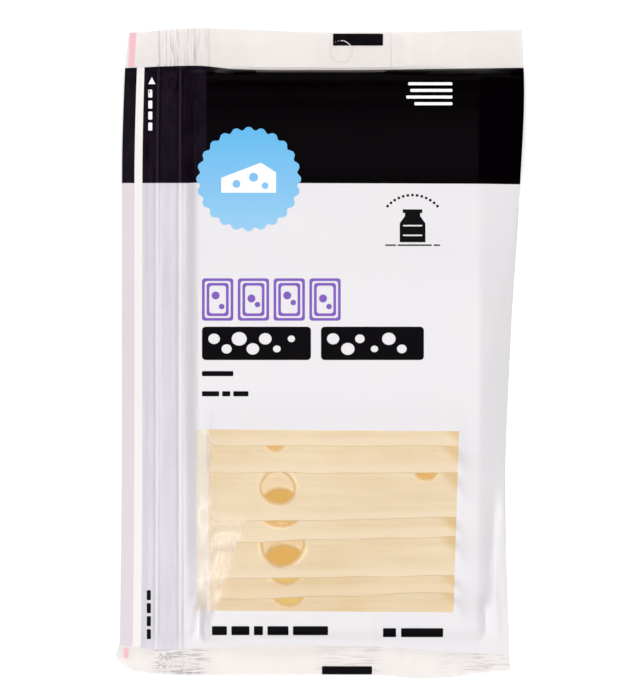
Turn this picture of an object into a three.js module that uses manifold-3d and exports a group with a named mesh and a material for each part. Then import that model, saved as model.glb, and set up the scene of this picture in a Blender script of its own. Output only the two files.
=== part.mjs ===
// A sealed, resealable film pack of sliced cheese, lying on its back with the printed side up.
// Millimetres, +Z up, +Y towards the hanging end, +X away from the zip. The slices overlap like
// roof tiles, each one higher up the pack lying on the one below it, and show through a window.
import * as THREE from "three";
import Module from "manifold-3d";
import { mergeVertices } from "three/addons/utils/BufferGeometryUtils.js";

const wasm = await Module();
wasm.setup();
const { lerp, smoothstep, clamp, degToRad } = THREE.MathUtils;

// Film and clearances
const WALL = 0.6;
const GAP = 0.3;
const BASE = WALL + GAP;

// Cheese slices, from the lowest at the back to the highest in front
const SLICE = { width: 87, height: 100, thick: 2.1, corner: 3, middle: 6.2 };
const PITCH = SLICE.thick + GAP;
const LOWER_EDGES = [-88.5, -80.2, -73.9, -61.5, -54.9, -39.4, -30.5, -23.5, -16.5, -9.5];
const TILTS_DEG = [1.2, 1.6, 0.9, 1.6, 1, 0, 0, 0, 0, 0];

// Where the film climbs a slice's lower edge, tightly over the stack and softly along the pack's sides,
// and where what lies on a slice bends down past its upper edge
const RISE = { from: 3.2, to: 0.4 };
const SOFT_RISE = { from: 16, to: -8 };
const FALL = { from: 2.5, to: 24 };
const BEND_STEP = 5;

// Eyes: one flattened bubble that the lower slices cut through, widest in one of them, and a small eye
// near the right side of a single slice. Heights are above the slice's lower edge
const BUBBLE = { radius: 7.7, widest: 2, step: 2.2, x: -12.3, drift: -0.8, above: 10.8 };
const SMALL_EYE = { slice: 4, radius: 4, x: 35, above: 16.5 };

const STACK = {
  left: SLICE.middle - SLICE.width / 2,
  right: SLICE.middle + SLICE.width / 2,
  bottom: LOWER_EDGES[0],
  top: LOWER_EDGES.at(-1) + SLICE.height,
};

// From the stack to the film's inside, its outside, and on the left the foot where the zip's flange starts
const SIDE = { inner: 1.9, outer: 2.5, foot: 7.2 };
const END = { inner: 1.3, outer: 1.9 };

// The body ends where the flat end seals start
const BODY = { bottom: -96.2, top: 94.2 };
const SEAL = { length: 11, thick: 0.9, lift: 1.7, wave: 0.5, wave_length: 55, curl: 2.2 };

// The flange: places are shares of its width from the outer edge, the root's height a share of the pack's
const FLANGE = { tip: 2.2, root: 0.45, least_root: 2.2, film: 0.9, zip: 1.5, zip_from: 0.36, zip_to: 0.44 };
const RIDGE = { places: [0.562, 0.925], foot: 0.055, crest: 0.025, height: 0.8 };

// The fold along the right side, at a share of the pack's height
const FOLD = { share: 0.42, thick: 0.9, front_bulge: 1.15, back_bulge: 1.4 };

const WINDOW = { left: -36, right: 44.8, bottom: -85.1, top: -25.2 };

// Columns and rows of the film's grid besides those along edges and steps. Flap, fold and seal are shares
const GRID = {
  flap: 0.17,
  stack: { from: -26, to: 34, step: 12 },
  fold: [0.4, 0.75, 1],
  seal: 0.5,
  rests: [-69, -48, 2],
  fall: { from: 14, to: 86, step: 8 },
};

// A slice is cut from a bent sheet with some to spare, by a block deeper than the pack
const BLANK = { spare: 3, depth: 40 };
const ARC_SEGMENTS = 8;
const WELD = 1e-4;

// A smooth line through a few stations [place, value]
function spline(stations) {
  const places = stations.map((station) => station[0]);
  const values = stations.map((station) => station[1]);
  const curve = new THREE.CubicInterpolant(places, values, 1);
  return (place) => curve.evaluate(clamp(place, places[0], places.at(-1)))[0];
}

// The outline: the right side is drawn in where the stack is thick, and the seals wave a little
const leftEdge = spline([[-101, -67.3], [-94, -66], [-15, -65.3], [57, -65.3], [94, -64.3], [106, -63]]);
const rightEdge = spline([[-104, 62.7], [-42, 61], [5, 62.7], [57, 66], [87, 67.4], [106, 66.7]]);
const bottomEdge = spline([[-67, -101], [-60, -105], [-40, -106], [18, -106], [33, -107.3], [63, -104.2]]);
const topEdge = spline([[-62, 105.8], [-40, 107.3], [7, 105.8], [67, 106.8]]);

// A slice's lower edge at x, and its upper edge in the middle
const slope = (slice) => Math.tan(degToRad(TILTS_DEG[slice]));
const lowerEdge = (slice, x) => LOWER_EDGES[slice] + slope(slice) * (x - SLICE.middle);
const upperEdge = (slice) => LOWER_EDGES[slice] + SLICE.height;

// How much of a slice's thickness lifts what is over it: nothing below it, all of it over the slice,
// and less and less above its upper edge
function rise(slice, x, y, climb) {
  const edge = lowerEdge(slice, x);
  return slice === 0 ? 1 : smoothstep(y, edge - climb.from, edge - climb.to);
}

function fall(slice, y) {
  return 1 - smoothstep(y, upperEdge(slice) + FALL.from, upperEdge(slice) + FALL.to);
}

// The film's outside over the stack
function filmTop(x, y, climb) {
  const across = clamp(x, STACK.left, STACK.right);
  const along = clamp(y, STACK.bottom, STACK.top);
  const layers = LOWER_EDGES.map((_, slice) => rise(slice, across, along, climb) * fall(slice, along));
  return BASE + PITCH * layers.reduce((sum, layer) => sum + layer, 0) + WALL;
}

// Half the thickness of the flange at a share of its width, with the zip's two ridges
function flangeHalf(share) {
  const zip = smoothstep(share, FLANGE.zip_from, FLANGE.zip_to);
  const away = Math.min(...RIDGE.places.map((place) => Math.abs(share - place)));
  const ridge = 1 - clamp((away - RIDGE.crest) / (RIDGE.foot - RIDGE.crest), 0, 1);
  return lerp(FLANGE.film, FLANGE.zip, zip) / 2 + RIDGE.height * ridge;
}

// Front and back height of the flange at a share of its width
function flangeHeights(share, y) {
  const root = Math.max(FLANGE.root * filmTop(STACK.left, y, SOFT_RISE), FLANGE.least_root);
  const middle = lerp(FLANGE.tip, root, share);
  return [middle + flangeHalf(share), middle - flangeHalf(share)];
}

// Front and back height between the end seals: flange, left wall, stack, and the slope to the fold
function bodyHeights(x, y) {
  const top = filmTop(x, y, RISE);
  const foot = STACK.left - SIDE.foot;
  if (x <= foot) {
    const edge = leftEdge(y);
    return flangeHeights(clamp((x - edge) / (foot - edge), 0, 1), y);
  }
  const shoulder = STACK.right + SIDE.outer;
  if (x <= shoulder) {
    const [rootTop, rootBottom] = flangeHeights(1, y);
    const down = smoothstep(STACK.left - SIDE.outer - x, 0, SIDE.foot - SIDE.outer);
    return [lerp(top, rootTop, down), lerp(0, rootBottom, down)];
  }
  const out = clamp((x - shoulder) / (rightEdge(y) - shoulder), 0, 1);
  const fold = FOLD.share * filmTop(x, y, SOFT_RISE);
  return [
    lerp(top, fold + FOLD.thick / 2, out ** FOLD.front_bulge),
    lerp(0, fold - FOLD.thick / 2, out ** FOLD.back_bulge),
  ];
}

// Front and back height anywhere: the body is drawn down into the end seals, and the bottom seal curls up
function heights(x, y) {
  const fromBottom = smoothstep(y, BODY.bottom, STACK.bottom - END.outer);
  const body = fromBottom * (1 - smoothstep(y, STACK.top + END.outer, BODY.top));
  const beyond = Math.max(BODY.bottom - y, y - BODY.top, 0) / SEAL.length;
  const wave = SEAL.wave * Math.sin((2 * Math.PI * x) / SEAL.wave_length) * beyond;
  const curl = y < BODY.bottom ? SEAL.curl * beyond ** 2 : 0;
  const middle = SEAL.lift + wave + curl;
  const [front, back] = bodyHeights(x, clamp(y, BODY.bottom, BODY.top));
  return [lerp(middle + SEAL.thick / 2, front, body), lerp(middle - SEAL.thick / 2, back, body)];
}

// Places from one end of a span to the other, a step apart
function placesAlong({ from, to, step }) {
  const count = Math.round((to - from) / step);
  return Array.from({ length: count + 1 }, (_, n) => from + n * step);
}

// Columns of the film's grid as functions of y: shares of the flange, fixed places over the stack,
// and shares of the slope to the fold
const ridgeLines = [-RIDGE.foot, -RIDGE.crest, RIDGE.crest, RIDGE.foot];
const flangeShares = [
  0,
  GRID.flap,
  FLANGE.zip_from,
  FLANGE.zip_to,
  ...RIDGE.places.flatMap((place) => ridgeLines.map((away) => place + away)),
  1,
];
const flangeColumn = (share) => (y) => lerp(leftEdge(y), STACK.left - SIDE.foot, share);
const fixedColumn = (x) => () => x;
const foldColumn = (share) => (y) => lerp(STACK.right + SIDE.outer, rightEdge(y), share);
const columns = [
  ...flangeShares.map(flangeColumn),
  fixedColumn(STACK.left - (SIDE.foot + SIDE.outer) / 2),
  fixedColumn(STACK.left - SIDE.outer),
  fixedColumn(STACK.left - SIDE.inner),
  fixedColumn(WINDOW.left),
  ...placesAlong(GRID.stack).map(fixedColumn),
  fixedColumn(WINDOW.right),
  fixedColumn(STACK.right + SIDE.inner),
  fixedColumn(STACK.right + SIDE.outer),
  ...GRID.fold.map(foldColumn),
];

// Rows of the grid as functions of x, bottom to top. The rows of a step follow the slice's tilted edge
const levelRow = (y) => ({ at: y, y: () => y });
const stepRow = (slice, below) => ({
  at: LOWER_EDGES[slice] - below,
  y: (x) => lowerEdge(slice, clamp(x, STACK.left, STACK.right)) - below,
});
const sealRow = (end, edge, share) => ({
  at: lerp(end, edge(0), share),
  y: (x) => lerp(end, edge(x), share),
});
const lowerEnd = [STACK.bottom - END.outer, STACK.bottom - END.inner];
const upperEnd = [STACK.top + END.inner, STACK.top + END.outer];
const climbs = LOWER_EDGES.slice(1).flatMap((_, below) => [
  stepRow(below + 1, RISE.from),
  stepRow(below + 1, RISE.to),
]);
const between = [...GRID.rests, ...placesAlong(GRID.fall)];
const rows = [
  ...[1, GRID.seal, 0].map((share) => sealRow(BODY.bottom, bottomEdge, share)),
  ...[...lowerEnd, ...upperEnd, WINDOW.bottom, WINDOW.top, ...between].map(levelRow),
  ...climbs,
  ...[0, GRID.seal, 1].map((share) => sealRow(BODY.top, topEdge, share)),
].sort((a, b) => a.at - b.at);

// Blocks of the grid's cells: the whole film, the room for the slices, and the window
const columnAt = (x) => columns.findIndex((column) => column(0) === x);
const rowAt = (y) => rows.findIndex((row) => row.at === y);
const WHOLE = { i: [0, columns.length - 1], j: [0, rows.length - 1] };
const CAVITY = {
  i: [columnAt(STACK.left - SIDE.inner), columnAt(STACK.right + SIDE.inner)],
  j: [rowAt(STACK.bottom - END.inner), rowAt(STACK.top + END.inner)],
};
const OPENING = {
  i: [columnAt(WINDOW.left), columnAt(WINDOW.right)],
  j: [rowAt(WINDOW.bottom), rowAt(WINDOW.top)],
};
const holds = ({ i: [i0, i1], j: [j0, j1] }, i, j) => i >= i0 && i < i1 && j >= j0 && j < j1;

// A point of the grid seen from above
function plan(i, j) {
  const x = columns[i](rows[j].at);
  return [x, rows[j].y(x)];
}

// A closed surface put together from layers of cells and the walls between them
class Surface {
  positions = [];
  index = [];
  known = new Map();

  // A function that gives the number of a layer's vertex, made once by place(i, j)
  layer(name, place) {
    return (i, j) => {
      const key = `${name} ${i} ${j}`;
      if (!this.known.has(key)) {
        this.known.set(key, this.positions.length / 3);
        this.positions.push(...place(i, j));
      }
      return this.known.get(key);
    };
  }

  quad(ring, reversed) {
    const [a, b, c, d] = reversed ? [...ring].reverse() : ring;
    this.index.push(a, b, c, a, c, d);
  }

  // The cells of a block, without those of a hole in it
  cover(layer, up, block, hole) {
    for (let i = block.i[0]; i < block.i[1]; i++) {
      for (let j = block.j[0]; j < block.j[1]; j++) {
        if (hole && holds(hole, i, j)) continue;
        this.quad([layer(i, j), layer(i + 1, j), layer(i + 1, j + 1), layer(i, j + 1)], !up);
      }
    }
  }

  // The wall round a block from a lower to an upper layer, facing out of the block or into it
  wall(lower, upper, { i: [i0, i1], j: [j0, j1] }, outward) {
    const ring = [];
    for (let i = i0; i < i1; i++) ring.push([i, j0]);
    for (let j = j0; j < j1; j++) ring.push([i1, j]);
    for (let i = i1; i > i0; i--) ring.push([i, j1]);
    for (let j = j1; j > j0; j--) ring.push([i0, j]);
    ring.forEach((a, n) => {
      const b = ring[(n + 1) % ring.length];
      this.quad([lower(...a), lower(...b), upper(...b), upper(...a)], !outward);
    });
  }

  geometry() {
    const made = new THREE.BufferGeometry();
    made.setAttribute("position", new THREE.Float32BufferAttribute(this.positions, 3));
    made.setIndex(this.index);
    made.computeVertexNormals();
    return made;
  }
}

// The printed film: one skin round the slices, with the window left open
function pouch() {
  const surface = new Surface();
  const film = (name, height) =>
    surface.layer(name, (i, j) => {
      const [x, y] = plan(i, j);
      return [x, y, height(...heights(x, y))];
    });
  const front = film("front", (top) => top);
  const back = film("back", (_, bottom) => bottom);
  const roof = film("roof", (top) => top - WALL);
  const floor = film("floor", () => WALL);
  surface.cover(front, true, WHOLE, OPENING);
  surface.cover(back, false, WHOLE);
  surface.wall(back, front, WHOLE, true);
  surface.cover(roof, false, CAVITY, OPENING);
  surface.cover(floor, true, CAVITY);
  surface.wall(floor, roof, CAVITY, false);
  surface.wall(roof, front, OPENING, false);
  return surface.geometry();
}

// The clear film in the window, a gap inside the printed film's edge
function windowFilm() {
  const surface = new Surface();
  const inset = (place, n, [first, last]) => place + GAP * (Number(n === first) - Number(n === last));
  const film = (name, drop) =>
    surface.layer(name, (i, j) => {
      const [x, y] = plan(i, j);
      return [inset(x, i, OPENING.i), inset(y, j, OPENING.j), heights(x, y)[0] - drop];
    });
  const outside = film("outside", 0);
  const inside = film("inside", WALL);
  surface.cover(outside, true, OPENING);
  surface.cover(inside, false, OPENING);
  surface.wall(inside, outside, OPENING, true);
  return surface.geometry();
}

// A sheet of a slice's thickness, bent down where the slices under it end, and larger than the slice
function bentSheet(slice) {
  const surface = new Surface();
  const flatTo = upperEdge(0) + FALL.from;
  const start = LOWER_EDGES[slice] - BLANK.spare;
  const end = upperEdge(slice) + BLANK.spare;
  const along = [start];
  for (let y = flatTo; y < end; y += BEND_STEP) {
    if (y > start) along.push(y);
  }
  along.push(end);
  const under = LOWER_EDGES.slice(0, slice);
  const lift = (y) => BASE + PITCH * under.reduce((sum, _, lower) => sum + fall(lower, y), 0);
  const face = (name, height) =>
    surface.layer(name, (i, j) => {
      const x = lerp(STACK.left - BLANK.spare, STACK.right + BLANK.spare, i);
      return [x, along[j], lift(along[j]) + height];
    });
  const block = { i: [0, 1], j: [0, along.length - 1] };
  const lower = face("lower", 0);
  const upper = face("upper", SLICE.thick);
  surface.cover(lower, false, block);
  surface.cover(upper, true, block);
  surface.wall(lower, upper, block, true);
  return surface.geometry();
}

// The eyes in a slice: its cut through the bubble, and the small eye
function eyes(slice) {
  const layers = slice - BUBBLE.widest;
  const square = BUBBLE.radius ** 2 - (BUBBLE.step * layers) ** 2;
  const cut = {
    x: BUBBLE.x + BUBBLE.drift * layers,
    above: BUBBLE.above,
    radius: Math.sqrt(Math.max(square, 0)),
  };
  const found = slice === SMALL_EYE.slice ? [cut, SMALL_EYE] : [cut];
  return found.filter((eye) => eye.radius > 0);
}

// A slice's tilted outline with its eyes, as a block as deep as the pack
function sliceBlock(slice) {
  const [w, h, r] = [SLICE.width / 2, SLICE.height / 2, SLICE.corner];
  const outline = new THREE.Shape();
  outline.absarc(w - r, r - h, r, -Math.PI / 2, 0);
  outline.absarc(w - r, h - r, r, 0, Math.PI / 2);
  outline.absarc(r - w, h - r, r, Math.PI / 2, Math.PI);
  outline.absarc(r - w, r - h, r, Math.PI, 1.5 * Math.PI);
  for (const { x, above, radius } of eyes(slice)) {
    const hole = new THREE.Path();
    hole.absarc(x - SLICE.middle, above - h, radius, 0, 2 * Math.PI, true);
    outline.holes.push(hole);
  }
  const block = new THREE.ExtrudeGeometry(outline, {
    depth: BLANK.depth,
    bevelEnabled: false,
    curveSegments: ARC_SEGMENTS,
  });
  block.rotateZ(degToRad(TILTS_DEG[slice]));
  return block.translate(SLICE.middle, LOWER_EDGES[slice] + h, 0);
}

// A three.js geometry as a solid that can be cut
function solid(geometry) {
  const bare = geometry.clone();
  bare.deleteAttribute("normal");
  bare.deleteAttribute("uv");
  const merged = mergeVertices(bare, WELD);
  const vertProperties = merged.attributes.position.array;
  const triVerts = new Uint32Array(merged.index.array);
  return new wasm.Manifold(new wasm.Mesh({ numProp: 3, vertProperties, triVerts }));
}

function sliceGeometry(slice) {
  const { vertProperties, triVerts } = solid(bentSheet(slice)).intersect(solid(sliceBlock(slice))).getMesh();
  const geometry = new THREE.BufferGeometry();
  geometry.setAttribute("position", new THREE.BufferAttribute(vertProperties, 3));
  geometry.setIndex(new THREE.BufferAttribute(triVerts, 1));
  geometry.computeVertexNormals();
  return geometry;
}

const printed = new THREE.MeshStandardMaterial({ color: 0xe9e7ec, roughness: 0.35, metalness: 0 });
const clear = new THREE.MeshStandardMaterial({ color: 0xf4f1ee, roughness: 0.1, metalness: 0 });
clear.transparent = true;
clear.opacity = 0.25;
const cheese = new THREE.MeshStandardMaterial({ color: 0xecd5ad, roughness: 0.55, metalness: 0 });

function node(name, geometry, material) {
  const mesh = new THREE.Mesh(geometry, material);
  mesh.name = name;
  return mesh;
}

const pack = new THREE.Group();
pack.add(node("pouch", pouch(), printed));
pack.add(node("window_film", windowFilm(), clear));
LOWER_EDGES.forEach((_, slice) => {
  const name = `slice_${String(slice + 1).padStart(2, "0")}`;
  pack.add(node(name, sliceGeometry(slice), cheese));
});

// The frame's origin is the middle of the pack's footprint, on the surface it lies on
const box = new THREE.Box3().setFromObject(pack, true);
pack.position.set(-(box.min.x + box.max.x) / 2, -(box.min.y + box.max.y) / 2, 0);
const part = new THREE.Group();
part.add(pack);

export default part;
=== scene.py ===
# Looks of a sealed, resealable film pack of sliced cheese, lying on its back with the printed side up:
# printed film with a clear window, hazy end seals, a zip along the left side, and the slices inside.
# Sizes and places are in millimetres, in the frame's axes; meshes are made in metres.
import math

import bmesh
import bpy
import numpy as np
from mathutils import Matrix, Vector


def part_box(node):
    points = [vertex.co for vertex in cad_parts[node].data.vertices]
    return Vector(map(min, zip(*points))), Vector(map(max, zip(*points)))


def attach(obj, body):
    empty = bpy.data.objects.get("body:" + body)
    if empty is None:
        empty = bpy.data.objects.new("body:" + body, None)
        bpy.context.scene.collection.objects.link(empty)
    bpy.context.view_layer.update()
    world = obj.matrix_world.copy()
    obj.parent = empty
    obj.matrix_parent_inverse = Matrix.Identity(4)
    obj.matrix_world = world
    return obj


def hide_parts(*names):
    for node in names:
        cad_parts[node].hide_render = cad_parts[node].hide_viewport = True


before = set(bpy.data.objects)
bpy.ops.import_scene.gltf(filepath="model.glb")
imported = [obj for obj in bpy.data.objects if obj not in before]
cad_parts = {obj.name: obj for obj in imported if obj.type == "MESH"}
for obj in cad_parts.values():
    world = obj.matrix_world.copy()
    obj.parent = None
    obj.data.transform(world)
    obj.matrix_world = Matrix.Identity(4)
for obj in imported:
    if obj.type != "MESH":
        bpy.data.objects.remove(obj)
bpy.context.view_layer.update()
MM = 0.001

# Slices, from the frame: the top one isn't tilted, and the lowest one is flat
SLICES = [f"slice_{number:02d}" for number in range(1, 11)]
TILTS_DEG = [1.2, 1.6, 0.9, 1.6, 1, 0, 0, 0, 0, 0]
BOXES = [[np.array(corner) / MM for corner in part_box(node)] for node in SLICES]
WIDTH, HEIGHT, _ = BOXES[-1][1] - BOXES[-1][0]
MIDDLE = (BOXES[-1][0][0] + BOXES[-1][1][0]) / 2
BASE = BOXES[0][0][2]
GAP = 0.3
PITCH = BOXES[0][1][2] - BASE + GAP
LOWER_EDGES = [(low[1] + high[1] - HEIGHT) / 2 for low, high in BOXES]
SLOPES = np.tan(np.radians(TILTS_DEG))
STACK_LEFT, STACK_RIGHT = MIDDLE - WIDTH / 2, MIDDLE + WIDTH / 2
STACK_BOTTOM, STACK_TOP = LOWER_EDGES[0], LOWER_EDGES[-1] + HEIGHT

# How the film climbs a slice's lower edge, over the stack and at the sides, and falls past the upper one
RISE = (3.2, 0.4)
TENT_RISE, TENT_FROM_SLICE = (15, 0.2), 7
SIDE_EASE, EASE_MARGINS = 9, (3, 1)
SOFT_RISE = (16, -8)
FALL = (2.5, 24)

# The film's walls beside the stack, the end seals, the zip's flange on the left, and the fold on the right
FILM = 0.12
SIDE_OUTER, SIDE_FOOT, END_OUTER = 2.5, 7.2, 1.9
FOOT = STACK_LEFT - SIDE_FOOT
WALL_TOP = STACK_LEFT - SIDE_OUTER
SHOULDER = STACK_RIGHT + SIDE_OUTER
BODY_BOTTOM, BODY_TOP = -96.2, 94.2
SEAL_LENGTH, SEAL_THICK, SEAL_LIFT, SEAL_WAVE, SEAL_WAVE_LENGTH, SEAL_CURL = 11, 0.35, 1.7, 0.5, 55, 2.2
FLANGE_TIP, FLANGE_ROOT, FLANGE_LEAST, FLANGE_FILM, FLANGE_ZIP = 2.2, 0.45, 2.2, 0.35, 1.3
ZIP_FROM, ZIP_TO = 0.36, 0.44
RIDGES = (0.562, 0.925)
RIDGE_FOOT, RIDGE_CREST, RIDGE_HEIGHT = 0.055, 0.02, 0.8
FOLD_SHARE, FOLD_THICK, FRONT_BULGE, BACK_BULGE = 0.42, 0.3, 1.15, 1.4

# Print: the window, the black band's lower edge, and the bare stripe as shares of the flange
WINDOW_LEFT, WINDOW_RIGHT, WINDOW_BOTTOM, WINDOW_TOP = -40.6, 44.8, -85.1, -25.2
WINDOW_LEAN, WINDOW_SLOPE = 0.8, -0.0075
BAND_BOTTOM, BAND_SLOPE = 55.9, 0.004
STRIPE = (0.2, 0.325)

# Eyes in the cheese: one flattened bubble through the lower slices, and a small eye as x, height and radius
BUBBLE_RADIUS, BUBBLE_WIDEST, BUBBLE_STEP = 7.7, 2, 2.2
BUBBLE_X, BUBBLE_DRIFT, BUBBLE_ABOVE = -12.3, -0.8, 10.8
SMALL_EYE_SLICE, SMALL_EYE = 4, (35, 16.5, 4)

# Camera: the photograph's frame, looked at from straight above
PHOTO_HEIGHT_PX, MM_PER_PX = 691, 0.33
VIEW_CENTRE = (0, 2.6)
CAMERA_HEIGHT, SENSOR = 3000, 36
SHARP_DEG = 50

# Inks, surfaces and painted light and shade, as screen values
PANEL_COOL, PANEL_WARM = (226, 224, 228), (230, 226, 228)
# In the black band, the zip tone is a painted sheen over the zip, and the ridge tone a painted sheen on its
# ridge crests
BAND_BLACK, BAND_ZIP_SHEEN, BAND_RIDGE_SHEEN = (2, 0, 2), (34, 24, 38), (50, 42, 55)
# The zip flange's streaks between the dim and light tones are painted shade of its ribbed film, and the ridge
# tone a painted highlight on its crests
ZIP_DIM, ZIP_LIGHT, RIDGE_HIGHLIGHT = (200, 197, 205), (223, 219, 226), (234, 231, 236)
FLAP_PINK, STRIPE_CREAM = (221, 209, 217), (238, 232, 231)
BADGE_TOP, BADGE_BOTTOM = (98, 180, 230), (150, 200, 234)
# The seal streak tone is painted shade of the crushed, crinkled film
SEAL_CREAM, SEAL_GREY, SEAL_STREAK_SHADE = (243, 237, 233), (234, 228, 226), (166, 160, 164)
# The window's haze tone is its milky film and also its painted fold highlights; the back film's golden tone
# is painted light seen through the lowest slice's eye
WINDOW_HAZE, BACK_PAINTED_GLOW = (230, 219, 206), (200, 172, 92)
CHEESE_PALE, CHEESE_DEEP = (218, 203, 177), (206, 184, 146)
# Painted light and shade on the cheese: the rim tone is a painted highlight, the gold a painted shade in and
# under the eyes, and the wall tone a lighter paint on eye walls and lower edges against their shading
CHEESE_RIM_HIGHLIGHT, CHEESE_GOLD, CHEESE_WALL_LIGHT = (218, 203, 177), (193, 152, 56), (236, 216, 176)
FLOOR_TONE, FLOOR_TONE_OTHER = (250, 250, 250), (248, 248, 248)
INK_WHITE, INK_PURPLE = [(246, 246, 248), (250, 250, 250)], [(122, 88, 178), (134, 100, 190)]
INK_BLACK, INK_PINK = [(10, 8, 11), (16, 14, 17)], [(240, 190, 200), (236, 182, 194)]
SEAL_MARK = [(214, 208, 207), (222, 216, 214)]

# Light, in metres and watts, and the world's strength by height: from the horizon to straight above
LIGHTS = [
    ("left", (-0.75, 0.1, 1.7), 1, 10.5),
    ("right", (0.75, -0.1, 1.7), 1, 10.5),
    ("upper", (0.1, 0.7, 1.7), 1, 9.5),
    ("lower", (-0.1, -0.7, 1.7), 1, 8.5),
]
WORLD_DIM_FROM_TO, WORLD_STRENGTHS = (0.5, 0.85), (0.34, 0.0)
FLOOR_SIZE, FLOOR_Z, FLOOR_GLOW, FLOOR_ROUGH = 4000, -0.3, 0.25, 0.9
FILM_GLOSS, FILM_ROUGH, INK_ROUGH = 0.015, 0.2, 0.25

# Fine measures of printed shapes and slices. Names in PX are pixels of the photograph
WELD, INK, PRINT_STEP = 0.001, 0.1, 0.9
PHOTO_MIDDLE_PX = (320, 353.5)
BADGE_PX, BADGE_RADIUS, SCALLOPS, SCALLOP_DEPTH = (249, 180), 17.2, 24, 1.1
SCALLOP_POINTS, SCALLOP_POWER = 10, 3
WEDGE = [(-9, -4.5), (9, -4.5), (9, 2.2), (4, 5.4), (-9, 0.4)]
WEDGE_EYES = [(-4, -1.6, 1.3), (1.6, 0.6, 1.5), (5.4, -2.2, 1.1)]
ROW_COUNT, ROW_LEFT_PX, ROW_WIDTH_PX, ROW_PITCH_PX = 4, 203, 31, 35.5
ROW_TOP_PX, ROW_BOTTOM_PX, ROW_INSETS_PX, ROW_CORNER = 279, 321, (0, 2.6, 4.6, 7.2), 0.9
# An eye's place across and down, its shift from slice to slice and how often that repeats, and its radius
ROW_EYES = [(-2, 17, 3, 2, 1.3), (4, 28, -2, 3, 0.9)]
# Strips as left, right and the seed of their eyes
STRIPS_PX, STRIP_TOP_PX, STRIP_BOTTOM_PX, STRIP_CORNER = [(203, 311, 6), (321, 423, 7)], 327, 360, 1.2
STRIP_MARGINS_PX, STRIP_ROWS_PX, STRIP_PITCHES_PX = (12, 10), (12, 22), (11, 15)
STRIP_EYE_RADII, STRIP_EYE_FLAT = (1.2, 2.5), 0.9
CHURN_PX = (412, 243)
CHURN_HALF = [(4.2, 0), (4.2, 6.2), (2.5, 8.6), (2.5, 9.6), (3.2, 9.6), (3.2, 10.8)]
CHURN_BANDS, CHURN_BAND, CHURN_BAND_REACH, THIN_CORNER = (2, 5.2), 0.5, 3.2, 0.2
GROUND, GROUND_STRETCHES = (-1.2, -0.75), ((-9, -5.4), (-4.9, 6.3), (6.9, 9))
DOT_TURNS_DEG, DOT_ARC, DOT_ARC_UP, DOT_RADIUS, DOT_POINTS = (42, 140, 8), 11, 4.5, 0.45, 12
# Rows of bars: left, top, bottom, widths and space. Columns: left, right, top, length, pitch and count
SMALL_ROWS_PX = [
    (203, 391, 396, (17, 8, 15), 3),
    (212, 626, 635, (15, 18, 9, 21, 35), 4.5),
    (383, 628, 637, (13, 42), 5),
]
MARK_ROWS_PX = [(203, 371, 376, (31,), 0), (333, 34, 46, (50,), 0), (322, 666, 674, (50,), 0)]
LOWER_COLUMN_PX, UPPER_COLUMN_PX = (147, 151, 590, 10, 13, 4), (148.5, 152.5, 90, 8, 11, 4)
LINE_WIDTHS_PX, LINE_THICK_PX = (44, 42, 46, 38), 3
LINES_RIGHT_PX, LINES_TOP_PX, LINES_PITCH_PX = 452, 83, 6.7
POINTER_PX = [(152, 77.5), (148.5, 84.5), (155.5, 84.5)]
PINK_PATCHES_PX = [
    [(130, 33), (136.5, 33), (134, 67), (128.5, 67)],
    [(124, 648), (129, 648), (128, 659), (124, 657)],
]
SEAL_LINE_PX, SEAL_LINE_CORNER = (390.6, 33, 391.6, 67), 0.1
HANG_HOLE_PX, HANG_HOLE_RADII = (341, 52), (3.8, 3.5)
SLICE_THICK, SLICE_ROUND, SLICE_CORNER, EDGE_STEP, EDGE_WAVE = 2.35, 0.3, 3, 3, 0.18
EYE_POINTS, EYE_TAPER, SHADED_FACES = 48, 1.15, (2, 4)
EYE_FLAT = 0.94
EYE_SWELLS, EYE_PHASES, TAPER_REACH = ((2, 0.03), (3, 0.02)), (0, 6), 1.2
EDGE_SEED, EYE_SEED, RELIEF_SEED = 20, 40, 60
EDGE_WAVE_LENGTH, RELIEF_LENGTH, RELIEF, RELIEF_UP = 26, 14, 0.01, (0.4, 1)

# Where a slice's mesh is cut, finely round the eyes and near the lower edge: reach or start, end and step
EYE_LINES, NEAR_LINES, RIGHT_LINES, FAR_LINES = (12, 1.2), (0.4, 22, 1.1), (28, 1.5), (25, 4)

# How much golden painted shade the cheese gets under eyes and in the corner beside the next slice, its
# painted highlights on rims, and lighter paint on walls against their shading
GOLD_SHADED, GOLD_LIGHT, GOLD_DEEP, GOLD_LOWEST = 0.8, 0.2, 0.8, 0.12
GOLD_SMALL_EYE, GOLD_CORNER, GOLD_SOFT = 0.9, 0.5, 0.8
CORNER_X, CORNER_SIZE, CORNER_REACH = 38, 5, 9
RIM_STARTS, RIM_ENDS, EYE_RIM, EYE_RIM_WIDTH = (-0.5, 0.6), (1.8, 4), 0.8, 0.9
EYE_WALL_WIDTH, EDGE_WALL, EDGE_WALL_ENDS = 0.25, 0.6, (0.1, 0.5)

# Film: how far front and back stay apart, the seals' streaks of painted shade, the window's milky places and
# painted fold highlights, and the golden light painted on the back film's inside
FRONT_CLEAR, OFF_FLANGE, ON_FLANGE = 2.5 * FILM, 2.0, 1.5
STREAK_FADE = (-42, -33)
MIDDLE_STREAKS, MIDDLE_STARTS, MIDDLE_ENDS = 0.4, (-3, 2), (18, 23)
RIGHT_STREAKS, RIGHT_STARTS = 0.5, (36, 46)
GLOW_MARGIN = 2
HAZE_HIGHLIGHT_STRIP, HAZE_FOLDED, HAZE_BEHIND, HAZE_FADE = 1.6, (51, 60), 0.28, (-2.5, 0.3)
HAZE_HIGHLIGHT_LINES, HAZE_HIGHLIGHT_WIDTH = ((0.4, 0), (0.3, 4.6)), 1.1

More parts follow.
